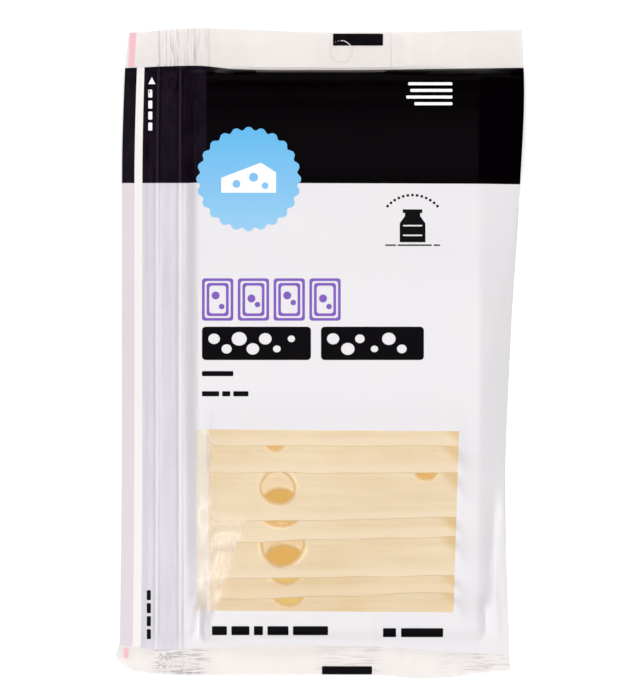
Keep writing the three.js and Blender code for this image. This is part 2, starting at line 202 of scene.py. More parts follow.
# Grain of the materials: noise as length, detail and stretch, and bumps as strength and depth
CLOUDS, INK_CLOUDS, FLOOR_CLOUDS = 24, 12, 60
# The zip's streaks of painted shade, the black band's streaks of painted sheen, and the shares of painted
# highlight and sheen on the ridge crests over light and black film
ZIP_STREAKS, BAND_SHEEN_STREAKS = (1.6, 3, (1, 30, 1)), (2.4, 4, (1, 3, 1))
CREST_LIGHT, CREST_DARK = 0.6, 0.5
FILM_GRAIN, FILM_BUMP, ROUGH_GRAIN, ROUGH_SPREAD = (7, 4), (0.12, 0.2), 9, 0.08
BACK_GRAIN, BACK_BUMP, BACK_ROUGH = (9, 4), (0.2, 0.25), 0.34
PANE_GRAIN, PANE_BUMP, PANE_ROUGH, PANE_IOR, PANE_MILK = (8, 3), (0.15, 0.2), 0.16, 1.2, 0.9
SEAL_CLOUDS, SEAL_GRAIN, SEAL_BUMP, SEAL_ROUGH = 10, (4, 4, (1, 5, 1)), (0.3, 0.25), 0.22
SEAL_HAZE, SEAL_HAZE_SPREAD, SEAL_HAZE_GRAIN = 0.5, 0.25, 14
TOP_STREAKS, BOTTOM_STREAKS = (0.6, (1, 60, 1), 5), (0.5, (14, 1, 1), 8)
CHEESE_PATCHES, CHEESE_STREAKS, STREAK_SHARE, PATCH_CONTRAST = (22, 2), (2.2, 4, (9, 1, 1)), 0.7, 1.3
CHEESE_GRAIN, CHEESE_BUMP, CHEESE_ROUGH, RIM_SHARE = (1.2, 4), (0.25, 0.12), 0.5, 0.75
CHEESE_GLOW, CHEESE_GLOW_REACH, CHEESE_GLOW_TONE = 0.15, 1.5, (1.0, 0.6, 0.25)


def smooth(value, low, high):
    part = np.clip((value - low) / (high - low), 0, 1)
    return part * part * (3 - 2 * part)


def lerp(a, b, share):
    return a + (b - a) * share


def spline(*stations):
    """A smooth line through a few stations (place, value), which never overshoots them."""
    places, values = np.array(stations, float).T
    secants = np.diff(values) / np.diff(places)
    product = secants[:-1] * secants[1:]
    total = secants[:-1] + secants[1:]
    inner = np.where(product > 0, 2 * product / np.where(total == 0, 1, total), 0)
    slopes = np.concatenate([secants[:1], inner, secants[-1:]])

    def at(place):
        place = np.clip(place, places[0], places[-1])
        n = np.clip(np.searchsorted(places, place) - 1, 0, len(places) - 2)
        span = places[n + 1] - places[n]
        t = (place - places[n]) / span
        rest = 1 - t
        return (
            values[n] * rest * rest * (1 + 2 * t)
            + values[n + 1] * t * t * (3 - 2 * t)
            + span * t * rest * (slopes[n] * rest - slopes[n + 1] * t)
        )

    return at


# The outline, and the wavy borders where the print ends at the seals
left_edge = spline((-101, -67.2), (-94, -66), (-15, -65.3), (57, -65.3), (94, -64.3), (106, -63))
right_edge = spline((-104, 62.7), (-42, 61), (5, 62.7), (57, 66), (87, 67.3), (106, 66.7))
bottom_edge = spline((-67, -101), (-60, -105), (-40, -106), (18, -106), (33, -107.2), (63, -104.2))
top_edge = spline((-62, 105.8), (-40, 107.2), (7, 105.8), (67, 106.8))
bottom_border = spline(
    (-66, -96.2), (-50, -97.8), (-38, -97.2), (-8, -96.2), (20, -96.8), (40, -98.2), (63, -99.6)
)
top_border = spline((-65, 94.1), (-41, 94.9), (-28, 93.8), (-14, 93.4), (10, 93.4), (35, 93.8), (67, 94.2))
haze_edge = spline((-84, -34.8), (-70, -31), (-52, -25.5), (-20, -25.5))


def lower_edge(number, x):
    return LOWER_EDGES[number] + SLOPES[number] * (x - MIDDLE)


def fall(number, y):
    upper = LOWER_EDGES[number] + HEIGHT
    return 1 - smooth(y, upper + FALL[0], upper + FALL[1])


def film_top(x, y, rise):
    """The film over the stack: every slice under it lifts it by one pitch."""
    x = np.clip(x, STACK_LEFT, STACK_RIGHT)
    y = np.clip(y, STACK_BOTTOM, STACK_TOP)
    top = BASE + FILM + PITCH * fall(0, y)
    left = 1 - smooth(x, STACK_LEFT, STACK_LEFT + EASE_MARGINS[0])
    right = smooth(x, WINDOW_RIGHT - EASE_MARGINS[1], STACK_RIGHT)
    ease = SIDE_EASE * np.maximum(right, left)
    for number in range(1, len(SLICES)):
        edge = lower_edge(number, x)
        climb = TENT_RISE if rise == RISE and number >= TENT_FROM_SLICE else rise
        top = top + PITCH * smooth(y, edge - climb[0] - ease, edge - climb[1]) * fall(number, y)
    return top


def flange_share(x, y):
    edge = left_edge(y)
    return np.clip((x - edge) / (FOOT - edge), 0, 1)


def flange_heights(share, y):
    """Front and back of the flange, with the zip's two ridges."""
    root = np.maximum(FLANGE_ROOT * film_top(STACK_LEFT, y, SOFT_RISE), FLANGE_LEAST)
    middle = lerp(FLANGE_TIP, root, share)
    away = np.min([np.abs(share - place) for place in RIDGES], axis=0)
    ridge = RIDGE_HEIGHT * (1 - smooth(away, RIDGE_CREST, RIDGE_FOOT))
    half = lerp(FLANGE_FILM, FLANGE_ZIP, smooth(share, ZIP_FROM, ZIP_TO)) / 2 + ridge
    return middle + half, middle - half


def body_heights(x, y):
    """Front and back between the end seals: flange, left wall, stack, and the slope to the fold."""
    top = film_top(x, y, RISE)
    flange_front, flange_back = flange_heights(flange_share(x, y), y)
    down = smooth(WALL_TOP - x, 0, SIDE_FOOT - SIDE_OUTER)
    out = np.clip((x - SHOULDER) / (right_edge(y) - SHOULDER), 0, 1)
    fold = FOLD_SHARE * film_top(x, y, SOFT_RISE)
    front = lerp(lerp(top, flange_front, down), fold + FOLD_THICK / 2, out**FRONT_BULGE)
    back = lerp(lerp(0, flange_back, down), fold - FOLD_THICK / 2, out**BACK_BULGE)
    return front, back


def plain_heights(x, y):
    """Front and back of the whole pack, drawn down into the end seals, without its wrinkles."""
    body = smooth(y, BODY_BOTTOM, STACK_BOTTOM - END_OUTER) * (1 - smooth(y, STACK_TOP + END_OUTER, BODY_TOP))
    beyond = np.clip(np.maximum(BODY_BOTTOM - y, y - BODY_TOP) / SEAL_LENGTH, 0, 1)
    wave = SEAL_WAVE * np.sin(2 * math.pi * x / SEAL_WAVE_LENGTH) * beyond
    middle = SEAL_LIFT + wave + np.where(y < 0, SEAL_CURL * beyond**2, 0)
    front, back = body_heights(x, np.clip(y, BODY_BOTTOM, BODY_TOP))
    return lerp(middle + SEAL_THICK / 2, front, body), lerp(middle - SEAL_THICK / 2, back, body)


# Wrinkles
CREASE_FADE = 0.3
RIPPLE_COUNT, RIPPLE_SPREAD = 9, (0.7, 1.4)


def crease(x, y, start, end, width, height):
    """A straight fold that fades at both ends: a ridge, or a valley where its height is below zero."""
    (x0, y0), (x1, y1) = start, end
    length = math.hypot(x1 - x0, y1 - y0)
    along = ((x - x0) * (x1 - x0) + (y - y0) * (y1 - y0)) / length**2
    away = ((x - x0) * (y1 - y0) - (y - y0) * (x1 - x0)) / length
    fade = smooth(along, 0, CREASE_FADE) * (1 - smooth(along, 1 - CREASE_FADE, 1))
    return height * np.exp(-((away / width) ** 2)) * fade


def ripples(x, y, length, seed, stretch=(1, 1)):
    """Soft random waves of about a length, mostly between -1 and 1, drawn out along x or y by a stretch."""
    draw = np.random.default_rng(seed)
    total = np.zeros(np.broadcast(x, y).shape)
    for _ in range(RIPPLE_COUNT):
        angle, phase = draw.uniform(0, 2 * math.pi, 2)
        wave = 2 * math.pi / (length * draw.uniform(*RIPPLE_SPREAD))
        total += np.sin(wave * (x / stretch[0] * math.cos(angle) + y / stretch[1] * math.sin(angle)) + phase)
    return total / math.sqrt(RIPPLE_COUNT)


def wrinkles(x, y, height, length, seed, stretch=(1, 1)):
    """Ripples of about a height."""
    return height * ripples(x, y, length, seed, stretch)


# The hollow along the lower right side, and soft waves as height, length, seed and stretch, with limits
HOLLOW_LEFT, HOLLOW_RIGHT, HOLLOW_LENGTH, HOLLOW_DEPTH = (50.9, 57.5), (57.5, 60.2), (38, 58), 3
ZIP_WAVES = (0.06, 5, 3, (2, 1))
CRUSH_WAVES, CRUSH_STARTS, CRUSH_ENDS = (0.3, 2.4, 4), (83, 90), (94, 97)
SEAL_WAVES, TOP_SEALED, BOTTOM_SEALED = (0.06, 6, 9, (1, 6)), (93.5, 95.5), (95.5, 98)
SEAL_CRUSH_WAVES, CRUSH_SHARES, CRUSH_FADE = (0.16, 2.2, 8, (1, 9)), (0.45, 0.6), (-41, -36)
PANEL_WAVES, PANEL_SWELL, PANEL_STARTS, PANEL_ENDS = (0.05, 30, 5), 0.1, (-100, -94), (90, 96)

# Folds as start, end, width and height
FOLDS = [
    # The film stands off the slices' left ends
    ((-25, -51.5), (-35.8, -84), 0.8, 0.9),
    ((-34, -60), (-38.2, -81), 0.7, 0.8),
    ((-37.6, -22), (-36.6, -41), 0.6, 0.5),
    # The pinched lower left corner
    ((-39.4, -78), (-41.2, -102), 1.6, -4.5),
    ((-37, -82), (-38.4, -98), 0.9, 0.8),
    # The drawn-in lower right side
    ((53, -78), (58, -99), 1.8, -1.6),
    ((63, 40), (52, -20), 2.4, 0.5),
    # Below the window
    ((18.4, -84), (19.8, -98), 0.8, 0.5),
    ((21.4, -84), (22.2, -98), 1, -0.4),
    ((-32, -93.4), (8, -94.4), 0.8, -0.5),
]


def front_height(x, y):
    """The front film with its folds and wrinkles."""
    front, _ = plain_heights(x, y)
    folds = sum(crease(x, y, *fold) for fold in FOLDS)
    on_stack = smooth(x, STACK_LEFT - 1, STACK_LEFT) * (1 - smooth(x, STACK_RIGHT, SHOULDER))
    on_stack = on_stack * smooth(y, STACK_BOTTOM - END_OUTER, STACK_BOTTOM)
    front = front + np.maximum(folds, 0) + np.minimum(folds, 0) * (1 - on_stack)
    hollow = smooth(x, *HOLLOW_LEFT) * (1 - smooth(x, *HOLLOW_RIGHT)) * smooth(-y, *HOLLOW_LENGTH)
    front = front - HOLLOW_DEPTH * hollow
    share = flange_share(x, y)
    zip_zone = smooth(share, ZIP_FROM, ZIP_TO) * (1 - smooth(x, FOOT, WALL_TOP))
    crushed = smooth(y, *CRUSH_STARTS) * (1 - smooth(y, *CRUSH_ENDS))
    front = front + zip_zone * (wrinkles(x, y, *ZIP_WAVES) + crushed * wrinkles(x, y, *CRUSH_WAVES))
    sealed = np.maximum(smooth(y, *TOP_SEALED), smooth(-y, *BOTTOM_SEALED))
    crushed_seal = sealed * smooth(share, *CRUSH_SHARES) * (1 - smooth(x, *CRUSH_FADE))
    front = front + crushed_seal * wrinkles(x, y, *SEAL_CRUSH_WAVES) + sealed * wrinkles(x, y, *SEAL_WAVES)
    panel = smooth(x, FOOT, WALL_TOP) * smooth(y, *PANEL_STARTS) * (1 - smooth(y, *PANEL_ENDS))
    return front + panel * (PANEL_SWELL + wrinkles(x, y, *PANEL_WAVES))


# The grid that all film pieces share
def fill(stops, step):
    """Places through every stop, about a step apart."""
    parts = [
        np.linspace(a, b, max(1, round(abs(b - a) / step)), endpoint=False) for a, b in zip(stops, stops[1:])
    ]
    return np.concatenate([*parts, [stops[-1]]])


GRID_STEP, FLANGE_STEP, FOLD_STEP, SEAL_STEP = 0.9, 0.02, 0.08, 0.07
BORDER_REACH = 9
FLANGE_SHARES = fill([0, *STRIPE, 1], FLANGE_STEP)[:-1]
STACK_PLACES = fill([FOOT, WINDOW_LEFT, WALL_TOP, WINDOW_RIGHT, SHOULDER], GRID_STEP)
FOLD_SHARES = fill([0, 1], FOLD_STEP)[1:]
SEAL_SHARES = fill([0, 1], SEAL_STEP)
BODY_PLACES = fill([BODY_BOTTOM, WINDOW_BOTTOM, WINDOW_TOP, BAND_BOTTOM, BODY_TOP], GRID_STEP)


def grid_columns(y):
    """X of every column, for each of the rows' nominal places y."""
    y = y[:, None]
    flange = lerp(left_edge(y), FOOT, FLANGE_SHARES)
    window_middle = (WINDOW_BOTTOM + WINDOW_TOP) / 2
    lean = WINDOW_LEAN * np.clip((y - window_middle) / (WINDOW_TOP - WINDOW_BOTTOM) * 2, -1, 1)
    hat = np.interp(STACK_PLACES, [WINDOW_LEFT, WINDOW_RIGHT, SHOULDER], [0, 1, 0])
    stack = STACK_PLACES + lean * hat
    fold = lerp(SHOULDER, right_edge(y), FOLD_SHARES)
    return np.hstack([flange, stack, fold])


def make_grid():
    """X and Y of the grid, bottom to top, and the numbers of the rows where the body starts and ends."""
    below = lerp(BODY_BOTTOM, bottom_edge(0), SEAL_SHARES)[:0:-1]
    above = lerp(BODY_TOP, top_edge(0), SEAL_SHARES)[1:]
    nominal = np.concatenate([below, BODY_PLACES, above])
    x = grid_columns(nominal)
    y = np.repeat(nominal[:, None], x.shape[1], axis=1)
    first, last = len(below), len(below) + len(BODY_PLACES) - 1
    near_window = smooth(y, BODY_BOTTOM, WINDOW_BOTTOM) * (1 - smooth(y, WINDOW_TOP, 0))
    bottom, top = bottom_border(x), top_border(x)
    shifted = y + (bottom - BODY_BOTTOM) * (1 - smooth(y, BODY_BOTTOM, WINDOW_BOTTOM))
    shifted += (top - BODY_TOP) * smooth(y, BODY_TOP - BORDER_REACH, BODY_TOP)
    shifted += WINDOW_SLOPE * (x - MIDDLE) * near_window
    for row in range(first):
        shifted[row] = lerp(bottom[row], bottom_edge(x[row]), SEAL_SHARES[first - row])
    for row in range(last + 1, len(nominal)):
        shifted[row] = lerp(top[row], top_edge(x[row]), SEAL_SHARES[row - last])
    return x, shifted, first, last


def grid_faces(cells):
    """Four-cornered faces, seen from above, of the grid's marked cells."""
    rows, columns = cells.shape
    index = np.arange((rows + 1) * (columns + 1)).reshape(rows + 1, columns + 1)
    return np.stack([index[:-1, :-1], index[:-1, 1:], index[1:, 1:], index[1:, :-1]], axis=-1)[cells]


# Meshes
def finish_piece(name, mesh, material, slot, nodes):
    mesh.shade_smooth()
    mesh.set_sharp_from_angle(angle=math.radians(SHARP_DEG))
    mesh.materials.clear()
    mesh.materials.append(material)
    piece = bpy.data.objects.new(name, mesh)
    bpy.context.collection.objects.link(piece)
    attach(piece, "root")
    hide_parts(*nodes)
    return piece


def add_attributes(mesh, attributes):
    for key, values in attributes.items():
        layer = mesh.attributes.new(key, "FLOAT", "POINT")
        layer.data.foreach_set("value", np.asarray(values, np.float32))


def sheet(name, x, y, upper, lower, faces, look, attributes):
    """A closed sheet: faces seen from above, over points x, y, between an upper and a lower height."""
    size = x.size
    corners = faces.shape[1]
    edges = np.concatenate([faces[:, [n, (n + 1) % corners]] for n in range(corners)])
    forward = edges[:, 0] * size + edges[:, 1]
    backward = edges[:, 1] * size + edges[:, 0]
    rim = edges[~np.isin(forward, backward)]
    walls = np.column_stack([rim[:, 1], rim[:, 0], rim[:, 0] + size, rim[:, 1] + size])
    used = np.unique(np.concatenate([faces.ravel(), faces.ravel() + size]))
    renumber = np.zeros(2 * size, int)
    renumber[used] = np.arange(used.size)
    polygons = [renumber[part].tolist() for part in (faces, faces[:, ::-1] + size, walls)]
    places = np.concatenate([np.column_stack([x.ravel(), y.ravel(), z.ravel()]) for z in (upper, lower)])
    mesh = bpy.data.meshes.new(name)
    mesh.from_pydata((places[used] * MM).tolist(), [], sum(polygons, []))
    add_attributes(mesh, {key: np.tile(values.ravel(), 2)[used] for key, values in attributes.items()})
    return finish_piece(name, mesh, *look)


def filled_curve(rings, extrude=0, bevel=0):
    """A mesh filled between closed rings of points, as thick as twice the extrusion, with rounded edges."""
    curve = bpy.data.curves.new("rings", "CURVE")
    curve.dimensions = "2D"
    curve.fill_mode = "BOTH"
    curve.extrude = (extrude - bevel) * MM
    curve.bevel_depth = bevel * MM
    curve.bevel_resolution = 1
    curve.offset = -bevel * MM
    for ring in rings:
        line = curve.splines.new("POLY")
        line.points.add(len(ring) - 1)
        points = np.column_stack([np.asarray(ring) * MM, np.zeros(len(ring)), np.ones(len(ring))])
        line.points.foreach_set("co", points.ravel())
        line.use_cyclic_u = True
    holder = bpy.data.objects.new("rings", curve)
    bpy.context.collection.objects.link(holder)
    bpy.context.view_layer.update()
    mesh = bpy.data.meshes.new_from_object(holder.evaluated_get(bpy.context.evaluated_depsgraph_get()))
    bpy.data.objects.remove(holder)
    bpy.data.curves.remove(curve)
    return mesh


def cut_mesh(mesh, x_places, y_places):
    """Cuts a mesh along straight lines, so that it can follow a curved surface."""
    work = bmesh.new()
    work.from_mesh(mesh)
    bmesh.ops.remove_doubles(work, verts=work.verts, dist=WELD * MM)
    for axis, places in enumerate((x_places, y_places)):
        normal = (1 - axis, axis, 0)
        for place in places:
            point = [value * place * MM for value in normal]
            everything = [*work.verts, *work.edges, *work.faces]
            bmesh.ops.bisect_plane(work, geom=everything, plane_co=point, plane_no=normal, dist=WELD * MM)
    bmesh.ops.triangulate(work, faces=work.faces)
    work.to_mesh(mesh)
    work.free()


def mesh_places(mesh):
    places = np.empty(3 * len(mesh.vertices), np.float32)
    mesh.vertices.foreach_get("co", places)
    return places.reshape(-1, 3).astype(float) / MM


def print_shape(name, rings, material, layers=1, step=PRINT_STEP):
    """A thin printed shape that lies on the front film."""
    mesh = filled_curve(rings)
    everything = np.concatenate([np.asarray(ring) for ring in rings])
    low, high = everything.min(axis=0), everything.max(axis=0)
    cut_mesh(mesh, np.arange(low[0] + step, high[0], step), np.arange(low[1] + step, high[1], step))
    x, y, _ = mesh_places(mesh).T
    faces = np.array([tuple(face.vertices) for face in mesh.polygons])
    if mesh.polygons[0].normal.z < 0:
        faces = faces[:, ::-1]
    bpy.data.meshes.remove(mesh)
    film = front_height(x, y)
    look = (material, "printed_film", ["pouch"])
    return sheet(name, x, y, film + layers * INK, film - FILM / 2, faces, look, {})


# Shapes of the print, in millimetres
def at_pixel(x, y):
    """A place on the pack's front from a pixel of the photograph."""
    return (x - PHOTO_MIDDLE_PX[0]) * MM_PER_PX, (PHOTO_MIDDLE_PX[1] - y) * MM_PER_PX


def ellipse(x, y, radius, flat=1, count=32):
    turn = np.linspace(0, 2 * math.pi, count, endpoint=False)
    return np.column_stack([x + radius * np.cos(turn), y + flat * radius * np.sin(turn)])


def bar(left, bottom, right, top, corner, count=5):
    """A rectangle with round corners."""
    quarter = np.linspace(0, math.pi / 2, count)
    points = []
    for number, (x, y) in enumerate(((right, top), (left, top), (left, bottom), (right, bottom))):
        turn = quarter + number * math.pi / 2
        inward = np.array([1 if x == left else -1, 1 if y == bottom else -1]) * corner
        points.append(np.array([x, y]) + inward + corner * np.column_stack([np.cos(turn), np.sin(turn)]))
    return np.concatenate(points)


def pixel_bar(left, top, right, bottom, corner=0.3):
    x0, y0 = at_pixel(left, bottom)
    x1, y1 = at_pixel(right, top)
    return bar(x0, y0, x1, y1, corner)


def word_bars(left, top, bottom, widths, space):
    """A row of plain bars, in photograph pixels."""
    rings = []
    for width in widths:
        rings.append(pixel_bar(left, top, left + width, bottom))
        left += width + space
    return rings


def bar_column(left, right, top, length, pitch, count):
    """A column of plain bars, in photograph pixels."""
    tops = [top + pitch * number for number in range(count)]
    return [pixel_bar(left, start, right, start + length) for start in tops]


def badge_rings():
    """A round badge with a scalloped rim."""
    x, y = at_pixel(*BADGE_PX)
    turn = np.linspace(0, 2 * math.pi, SCALLOP_POINTS * SCALLOPS, endpoint=False)
    radius = BADGE_RADIUS - SCALLOP_DEPTH * np.abs(np.sin(turn * SCALLOPS / 2)) ** SCALLOP_POWER
    return [np.column_stack([x + radius * np.cos(turn), y + radius * np.sin(turn)])]


def wedge_rings():
    """A wedge of cheese with three eyes, in the badge."""
    x, y = at_pixel(*BADGE_PX)
    eyes = [ellipse(x + across, y + up, radius) for across, up, radius in WEDGE_EYES]
    return [np.array(WEDGE) + (x, y), *eyes]


def slice_row_rings():
    """A row of outlined slices with an inner line and a few eyes."""
    rings = []
    for number in range(ROW_COUNT):
        left = ROW_LEFT_PX + number * ROW_PITCH_PX
        right = left + ROW_WIDTH_PX
        for inset in ROW_INSETS_PX:
            rings.append(
                pixel_bar(left + inset, ROW_TOP_PX + inset, right - inset, ROW_BOTTOM_PX - inset, ROW_CORNER)
            )
        middle = (left + right) / 2
        for across, down, shift, cycle, radius in ROW_EYES:
            place = at_pixel(middle + across, ROW_TOP_PX + down + shift * (number % cycle))
            rings.append(ellipse(*place, radius))
    return rings


def pierced_bar_rings(left, right, seed):
    """A strip of cheese seen from its side: a bar with eyes of several sizes."""
    draw = np.random.default_rng(seed)
    rings = [pixel_bar(left, STRIP_TOP_PX, right, STRIP_BOTTOM_PX, STRIP_CORNER)]
    place = left + STRIP_MARGINS_PX[0]
    high = True
    while place < right - STRIP_MARGINS_PX[1]:
        y = STRIP_TOP_PX + STRIP_ROWS_PX[0 if high else 1]
        rings.append(ellipse(*at_pixel(place, y), draw.uniform(*STRIP_EYE_RADII), STRIP_EYE_FLAT))
        place += draw.uniform(*STRIP_PITCHES_PX)
        high = not high
    return rings


def churn_rings():
    """A milk churn on a line of ground, under an arc of dots."""
    x, y = at_pixel(*CHURN_PX)
    outline = [(x + across, y + up) for across, up in CHURN_HALF]
    outline += [(x - across, y + up) for across, up in reversed(CHURN_HALF)]
    rings = [outline]
    for up in CHURN_BANDS:
        left, right = x - CHURN_BAND_REACH, x + CHURN_BAND_REACH
        rings.append(bar(left, y + up, right, y + up + CHURN_BAND, THIN_CORNER))
    for start, end in GROUND_STRETCHES:
        rings.append(bar(x + start, y + GROUND[0], x + end, y + GROUND[1], THIN_CORNER))
    for turn in np.radians(np.arange(*DOT_TURNS_DEG)):
        dot_x, dot_y = x + DOT_ARC * math.cos(turn), y + DOT_ARC_UP + DOT_ARC * math.sin(turn)
        rings.append(ellipse(dot_x, dot_y, DOT_RADIUS, count=DOT_POINTS))
    return rings


def make_print(ink):
    print_shape("print_badge", badge_rings(), ink["blue"])
    print_shape("print_badge_wedge", wedge_rings(), ink["white"], 2)
    print_shape("print_slice_row", slice_row_rings(), ink["purple"])
    strips = [ring for strip in STRIPS_PX for ring in pierced_bar_rings(*strip)]
    small = [ring for row in SMALL_ROWS_PX for ring in word_bars(*row)]
    marks = [ring for row in MARK_ROWS_PX for ring in word_bars(*row)]
    print_shape("print_strips", strips, ink["black"])
    print_shape("print_small", small, ink["black"])
    print_shape("print_marks", [*marks, *bar_column(*LOWER_COLUMN_PX)], ink["black"])
    print_shape("print_churn", churn_rings(), ink["black"])
    lines = []
    for number, width in enumerate(LINE_WIDTHS_PX):
        top = LINES_TOP_PX + LINES_PITCH_PX * number
        lines.append(pixel_bar(LINES_RIGHT_PX - width, top, LINES_RIGHT_PX, top + LINE_THICK_PX))
    pointer = [at_pixel(*place) for place in POINTER_PX]
    print_shape("print_white", [*lines, *bar_column(*UPPER_COLUMN_PX), pointer], ink["white"])
    pink = [[at_pixel(*place) for place in patch] for patch in PINK_PATCHES_PX]
    print_shape("print_pink", pink, ink["pink"])
    hole = [ellipse(*at_pixel(*HANG_HOLE_PX), radius) for radius in HANG_HOLE_RADII]
    print_shape("seal_marks", [*hole, pixel_bar(*SEAL_LINE_PX, SEAL_LINE_CORNER)], ink["mark"])


# Cheese
def tilted(number, points):
    """Turns points about a slice's middle by its tilt."""
    turn = math.atan(SLOPES[number])
    centre = np.array([MIDDLE, LOWER_EDGES[number] + HEIGHT / 2])
    along, up = (np.asarray(points) - centre).T
    return centre + np.column_stack(
        [along * math.cos(turn) - up * math.sin(turn), along * math.sin(turn) + up * math.cos(turn)]
    )


def slice_eyes(number):
    """Centres and radii of the eyes that go through a slice."""
    eyes = []
    off = (number - BUBBLE_WIDEST) * BUBBLE_STEP
    if abs(off) < BUBBLE_RADIUS:
        y = LOWER_EDGES[number] + BUBBLE_ABOVE
        x = BUBBLE_X + BUBBLE_DRIFT * (number - BUBBLE_WIDEST)
        eyes.append((x, y, math.sqrt(BUBBLE_RADIUS**2 - off**2)))
    if number == SMALL_EYE_SLICE:
        x, above, radius = SMALL_EYE
        eyes.append((x, LOWER_EDGES[number] + above, radius))
    return eyes


def uneven_ring(x, y, radius, seed):
    ring = ellipse(x, y, radius, EYE_FLAT, EYE_POINTS)
    turn = np.linspace(0, 2 * math.pi, EYE_POINTS, endpoint=False)
    draw = np.random.default_rng(seed)
    swell = 1 + sum(size * np.sin(waves * turn + draw.uniform(*EYE_PHASES)) for waves, size in EYE_SWELLS)
    return (ring - (x, y)) * swell[:, None] + (x, y)


def slice_outline(number):
    """A slice's outline with round corners and slightly wavy sides."""
    low, high = LOWER_EDGES[number], LOWER_EDGES[number] + HEIGHT
    ring = bar(STACK_LEFT, low, STACK_RIGHT, high, SLICE_CORNER)
    points = []
    for start, end in zip(ring, np.roll(ring, -1, axis=0)):
        steps = max(1, round(math.dist(start, end) / EDGE_STEP))
        points.extend(start + (end - start) * n / steps for n in range(steps))
    points = np.array(points)
    wave = ripples(points[:, 0], points[:, 1], EDGE_WAVE_LENGTH, EDGE_SEED + number)
    centre = np.array([MIDDLE, (low + high) / 2])
    inward = (centre - points) / np.array([WIDTH / 2, HEIGHT / 2])
    return tilted(number, points + inward * EDGE_WAVE * (1 + wave[:, None]))


def inside_eyes(number, x, y, margin):
    """One inside a slice's eyes, and soft to zero outside them."""
    share = np.zeros(x.shape)
    if number < len(SLICES):
        for eye_x, eye_y, radius in slice_eyes(number):
            away = np.hypot(x - eye_x, (y - eye_y) / EYE_FLAT)
            share = np.maximum(share, 1 - smooth(away, radius, radius + margin))
    return share


def slice_colours(number, x, y):
    """Painted light and shade on a slice: golden shade under the eyes above it and in the corner beside the
    next slice, a highlight near its lower edge and round its own eyes, and lighter walls against their
    shading. The lowest two slices are a little more golden all over.
    """
    first, second = (inside_eyes(number + step, x, y, GOLD_SOFT) for step in (1, 2))
    shade = GOLD_SHADED if number in SHADED_FACES else GOLD_LIGHT
    gold = shade * first + GOLD_DEEP * first * second + (GOLD_LOWEST if number < 2 else 0)
    above = y - lower_edge(number, x)
    # Painted highlight just above the lower edge
    rim = smooth(above, *RIM_STARTS) * (1 - smooth(above, *RIM_ENDS))
    if number + 1 == SMALL_EYE_SLICE:
        eye_x, above_edge, radius = SMALL_EYE
        away = np.hypot(x - eye_x, y - LOWER_EDGES[SMALL_EYE_SLICE] - above_edge)
        gold = np.maximum(gold, GOLD_SMALL_EYE * (1 - smooth(away, radius, radius + GOLD_SOFT)))
    # Golden painted shade in the corner at the slice's right end, under the next slice's edge
    if number + 1 < len(SLICES):
        below = lower_edge(number + 1, x) - y
        out = (x - CORNER_X - np.clip(below, 0, CORNER_REACH)) / CORNER_SIZE
        corner = smooth(out, 0, GOLD_SOFT) * smooth(below, -1, 0)
        gold = np.maximum(gold, GOLD_CORNER * corner)
    # Painted highlight round its own eyes, and lighter paint on its eye walls and lower edge face against
    # their shading
    rim = np.maximum(rim, inside_eyes(number, x, y, EYE_RIM_WIDTH) * EYE_RIM)
    edge_wall = EDGE_WALL * (1 - smooth(above, *EDGE_WALL_ENDS))
    wall = np.maximum(inside_eyes(number, x, y, EYE_WALL_WIDTH), edge_wall)
    return {"gold": np.clip(gold, 0, 1), "rim": rim, "wall": wall}


def make_slice(number, material):
    rings = [slice_outline(number)]
    for order, (x, y, radius) in enumerate(slice_eyes(number)):
        rings.append(uneven_ring(x, y, radius, EYE_SEED + 3 * number + order))
    mesh = filled_curve(rings, SLICE_THICK / 2, SLICE_ROUND)
    low = LOWER_EDGES[number]
    reach, step = EYE_LINES
    eye_lines = np.arange(BUBBLE_X - reach, BUBBLE_X + reach, step)
    right_lines = np.arange(RIGHT_LINES[0], STACK_RIGHT, RIGHT_LINES[1])
    near_lines = np.arange(low + NEAR_LINES[0], low + NEAR_LINES[1], NEAR_LINES[2])
    far_lines = np.arange(low + FAR_LINES[0], low + HEIGHT, FAR_LINES[1])
    cut_mesh(mesh, [*eye_lines, *right_lines], [*near_lines, *far_lines])
    places = mesh_places(mesh)
    x, y, z = places.T
    up = (z + SLICE_THICK / 2) / SLICE_THICK
    for eye_x, eye_y, radius in slice_eyes(number):
        away = np.hypot(x - eye_x, y - eye_y)
        near = 1 - smooth(away, radius, radius + TAPER_REACH)
        pull = 1 - EYE_TAPER * (1 - up) * near / np.maximum(away, 1)
        x = eye_x + (x - eye_x) * pull
        y = eye_y + (y - eye_y) * pull
    under = sum((fall(below, y) for below in range(number)), np.zeros(y.shape))
    relief = wrinkles(x, y, RELIEF, RELIEF_LENGTH, RELIEF_SEED + number) * smooth(up, *RELIEF_UP)
    lifted = np.column_stack([x, y, BASE + PITCH * under + up * SLICE_THICK + relief])
    mesh.vertices.foreach_set("co", (lifted * MM).ravel().astype(np.float32))
    add_attributes(mesh, slice_colours(number, x, y))
    piece = finish_piece(f"cheese_{SLICES[number]}", mesh, material, "cheese", [SLICES[number]])
    piece.visible_shadow = False


